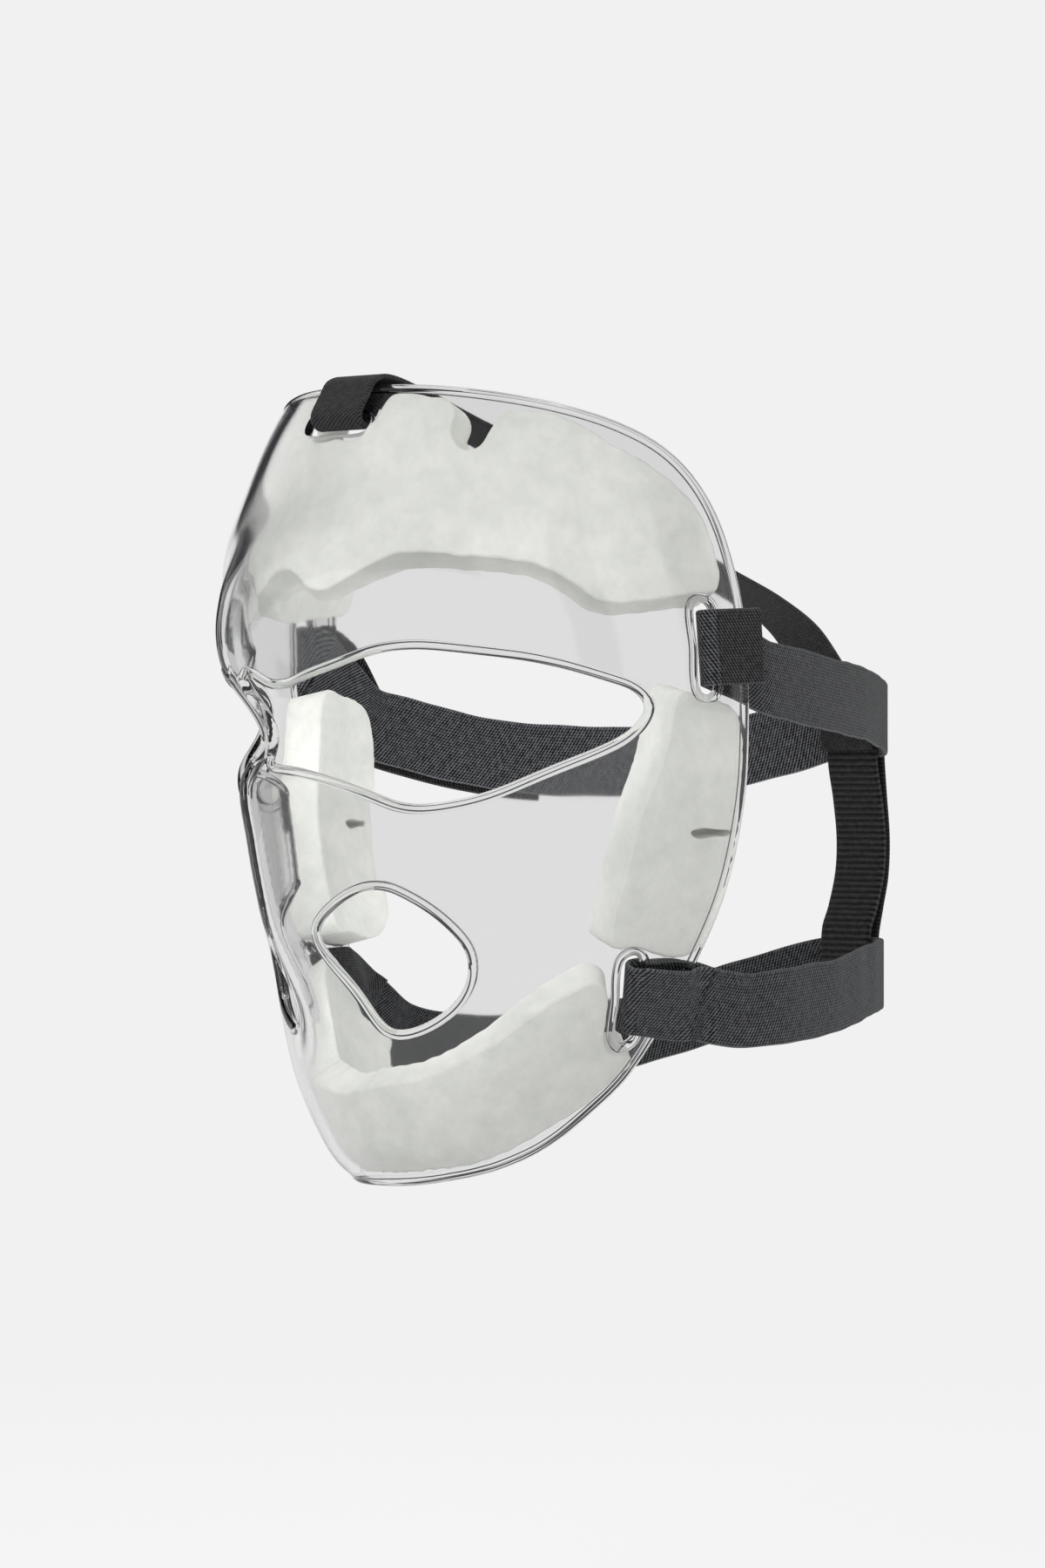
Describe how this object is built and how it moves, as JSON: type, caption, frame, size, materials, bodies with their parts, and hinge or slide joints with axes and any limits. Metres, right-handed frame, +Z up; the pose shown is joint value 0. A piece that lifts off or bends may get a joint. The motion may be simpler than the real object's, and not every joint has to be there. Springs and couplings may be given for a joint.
{
  "type": "face mask",
  "caption": "Clear moulded sports face mask with eye and cheek openings, bonded foam pads inside and an elastic strap harness threaded through slots.",
  "frame": {"origin": "midway between the two upper strap slots of the shell, at their height", "axes": "+Z up to the crown, -Y out of the front of the mask, +X to the wearer's left"},
  "size_m": [0.2046, 0.2755, 0.2479],
  "materials": {
    "clear_shell": "clear, polished",
    "foam": "closed-cell foam, fine grain",
    "strap_elastic": "charcoal twill elastic",
    "hook_tape": "black hook tape",
    "webbing": "ribbed black webbing",
    "plain_elastic": "plain woven black elastic",
    "thread": "black sewing thread"
  },
  "bodies": {
    "mask": {"shell": "clear_shell", "forehead_pad": "foam", "left_cheek_pad": "foam", "right_cheek_pad": "foam", "chin_pad": "foam", "upper_left_strap": "strap_elastic", "upper_right_strap": "strap_elastic", "lower_left_strap": "strap_elastic", "lower_left_seam": "thread", "lower_right_strap": "strap_elastic", "lower_right_seam": "thread", "top_strap": "strap_elastic", "back_webbing": "webbing", "back_elastic": "plain_elastic", "upper_back_stitching": "thread", "lower_back_stitching": "thread"},
    "left_tail": {"upper_left_strap_tail": "strap_elastic"},
    "right_tail": {"upper_right_strap_tail": "strap_elastic", "upper_right_tail_hooks": "hook_tape", "upper_right_tail_seam": "thread"},
    "top_tail": {"top_strap_tail": "strap_elastic", "top_strap_tail_hooks": "hook_tape"}
  },
  "joints": [
    {"name": "left_tail_peel", "type": "hinge", "parent": "mask", "child": "left_tail", "pos_m": [0.09744, -0.00494, -0.00126], "axis": [0.0615, 0.0328, -0.9976], "range_deg": [0, 120]},
    {"name": "right_tail_peel", "type": "hinge", "parent": "mask", "child": "right_tail", "pos_m": [-0.09744, -0.00494, -0.00126], "axis": [0.0615, -0.0328, 0.9976], "range_deg": [0, 120]},
    {"name": "top_tail_peel", "type": "hinge", "parent": "mask", "child": "top_tail", "pos_m": [0, -0.06582, 0.06737], "axis": [-1, 0, 0], "range_deg": [0, 60]}
  ]
}
